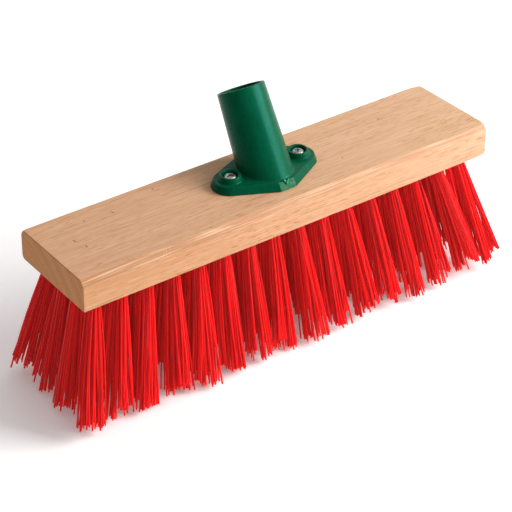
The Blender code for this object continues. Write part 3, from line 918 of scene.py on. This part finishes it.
def make_socket(material):
    socket = make_flange()
    for centre in (SCREW_LEFT, SCREW_RIGHT):
        apply_boolean(socket, make_boss(centre), "UNION")
    apply_boolean(socket, make_tube(), "UNION")
    apply_boolean(socket, make_bore(), "DIFFERENCE")
    for centre in (SCREW_LEFT, SCREW_RIGHT):
        apply_boolean(socket, make_boss_bore(centre), "DIFFERENCE")
        shank_hole = ((FLANGE_BOTTOM - 0.001, SHANK_HOLE_RADIUS), (FLANGE_TOP + 0.001, SHANK_HOLE_RADIUS))
        apply_boolean(socket, turned("shank_hole", centre, shank_hole, 48), "DIFFERENCE")
    smooth(socket, 28.0)
    weigh_normals(socket)
    place(socket, material, ["handle_socket"])
    make_gate_nub()


# ---------------------------------------------------------------- screws

def make_shank(centre, low, high):
    """Threaded shank: a turned grid whose radius follows a helix, pointed at its tip."""
    sides = 32
    rows = 96
    rings = []
    for row in range(rows + 1):
        z = low + (high - low) * row / rows
        point = min(1.0, (z - low) / POINT_LENGTH)
        ring = []
        for k in range(sides):
            turn = k / sides
            phase = (z / THREAD_PITCH - turn) % 1.0
            ridge = max(0.0, 1.0 - abs(phase - 0.5) * 4.0)
            radius = POINT_RADIUS + (SHANK_RADIUS - POINT_RADIUS + THREAD_HEIGHT * ridge) * point
            angle = 2 * math.pi * turn
            ring.append((centre.x + radius * math.cos(angle), centre.y + radius * math.sin(angle), z))
        rings.append(ring)
    return loft("shank", rings)


def make_recess_arm(centre, top, size_x, size_y):
    """Cutter for one arm of the cross recess, narrower at its foot."""
    rings = []
    for z, share in ((top - RECESS_DEPTH, 0.45), (top + 0.0005, 1.05)):
        half_x, half_y = 0.5 * size_x * share, 0.5 * size_y * share
        rings.append([Vector((centre.x + x * half_x, centre.y + y * half_y, z)) for x, y in CORNERS])
    return loft("arm", rings)


def make_screw(node, low, high, turn, material):
    centre = 0.5 * (low + high)
    seat = high.z - HEAD_HEIGHT
    profile = [(seat, 0.0012), (seat, HEAD_RADIUS - 0.0002), (seat + 0.0002, HEAD_RADIUS)]
    side_top = seat + 0.0008
    dome = 12
    for k in range(dome + 1):
        angle = math.radians(84.0) * k / dome
        height = side_top + (high.z - side_top) * math.sin(angle)
        profile.append((height, HEAD_RADIUS * math.cos(angle) ** 0.8))
    screw = turned(f"{node}_steel", centre, profile, 64)
    apply_boolean(screw, make_shank(centre, low.z, seat + 0.0006), "UNION")
    spin = Matrix.Translation(centre) @ Matrix.Rotation(turn, 4, "Z") @ Matrix.Translation(-centre)
    for size in ((RECESS_LENGTH, RECESS_WIDTH), (RECESS_WIDTH, RECESS_LENGTH)):
        arm = make_recess_arm(centre, high.z, *size)
        arm.data.transform(spin)
        apply_boolean(screw, arm, "DIFFERENCE")
    core = (
        (high.z - RECESS_DEPTH - 0.0003, 0.0003),
        (high.z - 0.0002, RECESS_CORE_RADIUS),
        (high.z + 0.0005, RECESS_CORE_RADIUS),
    )
    apply_boolean(screw, turned("core", centre, core, 32), "DIFFERENCE")
    smooth(screw, 32.0)
    place(screw, material, [node])


# ---------------------------------------------------------------- bristles

def leg_pairs(rng):
    """Root offsets of one leg of each folded strand; the other leg is opposite. A packed half disc."""
    golden = math.pi * (3.0 - math.sqrt(5.0))
    count = 2 * STRANDS_PER_TUFT
    spots = []
    for k in range(4 * count):
        radius = math.sqrt((k + 0.5) / count)
        spot = (radius * math.cos(k * golden), radius * math.sin(k * golden))
        if spot[1] >= 0.0 and radius <= 1.0:
            spots.append(spot)
    spots = np.array(spots[:STRANDS_PER_TUFT])
    turn = rng.uniform(0.0, math.pi)
    spin = np.array([[math.cos(turn), -math.sin(turn)], [math.sin(turn), math.cos(turn)]])
    return (spots + rng.normal(0.0, 0.03, spots.shape)) @ spin.T


def clump_sectors(rng, offsets):
    """Which clump each bristle belongs to: a few uneven slices of the tuft."""
    clumps = rng.integers(3, 6)
    angles = np.arctan2(offsets[:, 1], offsets[:, 0])
    start = rng.uniform(0.0, 2.0 * math.pi)
    return np.floor(((angles - start) % (2.0 * math.pi)) / (2.0 * math.pi) * clumps).astype(int)


def clump_pull(rng, offsets, sector):
    """Bristles gather into their clumps near the tips, which leaves gaps between the clumps."""
    pull = np.zeros_like(offsets)
    for k in range(sector.max() + 1):
        mine = sector == k
        if mine.any():
            centre = offsets[mine].mean(axis=0)
            push = centre * rng.uniform(0.0, 0.5)
            pull[mine] = (centre - offsets[mine]) * rng.uniform(0.05, 0.30) + push
    return pull


def trimmed_lengths(rng, offsets, sector):
    """Length lost at each tip: one slanting cut to a clump, some scatter, and a few long bristles."""
    count = len(offsets)
    trim = np.zeros(count)
    for k in range(sector.max() + 1):
        mine = sector == k
        slant = rng.uniform(0.0, 2.0 * math.pi)
        direction = np.array([math.cos(slant), math.sin(slant)])
        trim[mine] = rng.uniform(*TRIM_LOSS) + TRIM_SLANT * (offsets[mine] @ direction)
    trim = np.abs(trim + rng.normal(0.0, TRIM_SCATTER, count))
    trim[rng.random(count) < LONG_SHARE] *= 0.25
    return trim


def leg_paths(rng, root, slope, offsets, widening, end_lean):
    """Centre lines of the free legs, from the block's underside to the tips: (legs, steps, 3)."""
    count = len(offsets)
    lean = slope * BLOCK_BOTTOM + np.array([LEAN_ALONG + end_lean, 0.0])
    lean = lean + rng.uniform(-LEAN_SCATTER, LEAN_SCATTER)
    spread = np.array([TIP_SPREAD_ALONG * widening, TIP_SPREAD_ACROSS]) * rng.uniform(0.82, 1.16)
    sector = clump_sectors(rng, offsets)
    gathered = (offsets + clump_pull(rng, offsets, sector)) * spread
    tips = root + lean + gathered + rng.normal(0.0, TIP_SCATTER, (count, 2))
    stray = rng.random(count) < STRAY_SHARE
    tips[stray] += rng.normal(0.0, STRAY_SCATTER, (int(stray.sum()), 2))
    starts = root + offsets * TUFT_ROOT_RADIUS
    trim = trimmed_lengths(rng, offsets, sector)
    sideways = np.linalg.norm(tips - starts, axis=1)
    heights = BLOCK_BOTTOM - np.sqrt((BLOCK_BOTTOM - trim) ** 2 - sideways ** 2)
    bow = rng.normal(0.0, BOW_SCATTER, (count, 2))
    share = np.linspace(0.0, 1.0, FREE_STEPS + 1)[None, :, None]
    straight = starts[:, None, :] + (tips - starts)[:, None, :] * share
    flat = straight + bow[:, None, :] * 4.0 * share * (1.0 - share)
    z = BLOCK_BOTTOM + (np.maximum(heights, 0.0003) - BLOCK_BOTTOM)[:, None] * share[:, :, 0]
    return np.concatenate([flat, z[:, :, None]], axis=2)


def fold_paths(first, second, slope):
    """Part of each strand inside its hole: up one leg, over the anchor wire and down the other."""
    shift = np.array([-slope[0], -slope[1], 1.0])
    middle = 0.5 * (first[:, 0] + second[:, 0])
    points = []
    for height, keep in FOLD_SHAPE:
        side = (first[:, 0] - middle) * keep
        points.append(middle + side + shift * FOLD_HEIGHT * height)
    return np.stack(points, axis=1)


def tubes(paths, radii, cuts):
    """Vertices and faces of closed tubes along paths (tubes, points, 3); cuts tilt the two end faces."""
    count, length, _ = paths.shape
    tangent = np.gradient(paths, axis=1)
    tangent /= np.linalg.norm(tangent, axis=2, keepdims=True)
    across = paths[:, -1] - paths[:, 0]
    plane = np.stack([-across[:, 1], across[:, 0], np.zeros(count)], axis=1)
    plane /= np.linalg.norm(plane, axis=1, keepdims=True)
    side = plane[:, None, :] - tangent * (plane[:, None, :] * tangent).sum(axis=2, keepdims=True)
    side /= np.linalg.norm(side, axis=2, keepdims=True)
    up = np.cross(tangent, side)
    angles = 2.0 * math.pi * np.arange(BRISTLE_SIDES) / BRISTLE_SIDES
    ring = side[:, :, None, :] * np.cos(angles)[:, None] + up[:, :, None, :] * np.sin(angles)[:, None]
    points = paths[:, :, None, :] + ring * radii[:, None, None, None]
    for end, column in ((0, 0), (-1, 1)):
        slant = radii[:, None] * cuts[:, column, None] * np.cos(angles[None, :] - cuts[:, 2, None])
        points[:, end] += tangent[:, end][:, None, :] * slant[:, :, None]
    points[..., 2] = np.maximum(points[..., 2], 0.0)
    faces = []
    for k in range(count):
        base = k * length * BRISTLE_SIDES
        for row in range(length - 1):
            low = base + row * BRISTLE_SIDES
            for j in range(BRISTLE_SIDES):
                nxt = (j + 1) % BRISTLE_SIDES
                faces.append((low + j, low + nxt, low + BRISTLE_SIDES + nxt, low + BRISTLE_SIDES + j))
        faces.append(tuple(base + j for j in reversed(range(BRISTLE_SIDES))))
        last = base + (length - 1) * BRISTLE_SIDES
        faces.append(tuple(last + j for j in range(BRISTLE_SIDES)))
    return points.reshape(-1, 3), faces


def make_tuft(name, root, slope, node, seed, material):
    rng = np.random.default_rng(seed)
    offsets = leg_pairs(rng)
    both = np.concatenate([offsets, -offsets])
    widening = INNER_SPREAD_SHARE if "pair" in node else 1.0
    end_lean = END_LEANS.get(node[-2:], 0.0)
    legs = leg_paths(rng, root, slope, both, widening, end_lean)
    first, second = legs[: len(offsets)], legs[len(offsets):]
    paths = np.concatenate([first[:, ::-1], fold_paths(first, second, slope), second], axis=1)
    radii = BRISTLE_RADIUS * rng.uniform(0.88, 1.12, len(paths))
    cuts = np.stack([rng.uniform(-0.7, 0.7, len(paths)), rng.uniform(-0.7, 0.7, len(paths)),
                     rng.uniform(0.0, 2.0 * math.pi, len(paths))], axis=1)
    points, faces = tubes(paths, radii, cuts)
    tuft = mesh_object(name, points, faces)
    smooth(tuft, 50.0)
    place(tuft, material, [node])


def make_anchor(root, slope, index):
    """Flat wire that pins the folds of one tuft across the top of its hole."""
    z = BLOCK_BOTTOM + ANCHOR_HEIGHT
    centre = root + slope * (BLOCK_BOTTOM - z)
    half = HOLE_RADIUS + ANCHOR_GRIP
    rings = []
    for share in (-1.0, -0.85, 0.85, 1.0):
        thick = ANCHOR_HALF_THICKNESS if abs(share) < 0.9 else ANCHOR_END_HALF_THICKNESS
        x = centre[0] + half * share
        rings.append([Vector((x, centre[1] + v * thick, z + w * ANCHOR_HALF_HEIGHT)) for v, w in CORNERS])
    return loft(f"anchor_{index}", rings)


def make_bristles(lines):
    material = bristle_material()
    for index, (root, slope, node) in enumerate(lines):
        make_tuft(f"bristles_{index + 1:02d}", root, slope, node, 100 + index, material)


def make_anchors(lines, material):
    wires = [make_anchor(root, slope, k) for k, (root, slope, _) in enumerate(lines)]
    place(join_meshes("tuft_anchors", wires), material, [])


# ---------------------------------------------------------------- studio

def make_floor():
    corners = [(FLOOR_HALF_SIZE * x, FLOOR_HALF_SIZE * y, 0.0) for x, y in CORNERS]
    floor = mesh_object("floor", corners, [(0, 1, 2, 3)])
    floor.location.z = -0.0002
    floor.data.materials.append(floor_material())


def add_softbox(name, azimuth, elevation, distance, size, power, colour):
    """Rectangular light that looks at the broom; the angles are in degrees, azimuth from +X towards +Y."""
    light = bpy.data.lights.new(name, "AREA")
    light.shape = "RECTANGLE"
    light.size, light.size_y = size
    light.energy = power
    light.color = colour
    item = add_object(name, light)
    across, up = math.radians(azimuth), math.radians(elevation)
    away = Vector((math.cos(across) * math.cos(up), math.sin(across) * math.cos(up), math.sin(up)))
    item.location = LIGHT_TARGET + distance * away
    item.rotation_euler = away.to_track_quat("Z", "Y").to_euler()


def make_world():
    """Plain studio surround, bright on the right and dim on the left."""
    world = bpy.data.worlds.new("studio_world")
    world.use_nodes = True
    tree = world.node_tree
    direction = tree.nodes.new("ShaderNodeTexCoord")
    parts = tree.nodes.new("ShaderNodeSeparateXYZ")
    level = tree.nodes.new("ShaderNodeMapRange")
    level.inputs["From Min"].default_value = -1.0
    level.inputs["To Min"].default_value = WORLD_DIM
    level.inputs["To Max"].default_value = WORLD_BRIGHT
    background = tree.nodes["Background"]
    background.inputs["Color"].default_value = (1.0, 1.0, 1.0, 1.0)
    tree.links.new(direction.outputs["Generated"], parts.inputs[0])
    tree.links.new(parts.outputs["X"], level.inputs["Value"])
    tree.links.new(level.outputs["Result"], background.inputs["Strength"])
    bpy.context.scene.world = world


def make_lights():
    make_world()
    for light in LIGHTS:
        add_softbox(*light)
    bpy.context.scene.view_settings.view_transform = "Standard"


def make_camera():
    """Long lens from the front left, looking down at a point near the block's middle."""
    camera = bpy.data.cameras.new("camera")
    camera.sensor_width = 36.0
    camera.lens = CAMERA_LENS
    camera.clip_start = 0.05
    item = add_object("camera", camera)
    level = math.cos(CAMERA_ELEVATION)
    back = Vector((
        -math.sin(CAMERA_AZIMUTH) * level,
        -math.cos(CAMERA_AZIMUTH) * level,
        math.sin(CAMERA_ELEVATION),
    ))
    item.location = CAMERA_TARGET + CAMERA_DISTANCE * back
    turn = back.to_track_quat("Z", "Y").to_matrix().to_4x4() @ Matrix.Rotation(CAMERA_ROLL, 4, "Z")
    item.rotation_euler = turn.to_euler()
    bpy.context.scene.camera = item


def main():
    make_camera()
    make_lights()
    make_floor()
    lines = tuft_lines()
    make_block(wood_material(), lines)
    make_socket(socket_material())
    steel = steel_material()
    for node, low, high, turn in SCREWS:
        make_screw(node, low, high, math.radians(turn), steel)
    make_bristles(lines)
    make_anchors(lines, steel)


main()
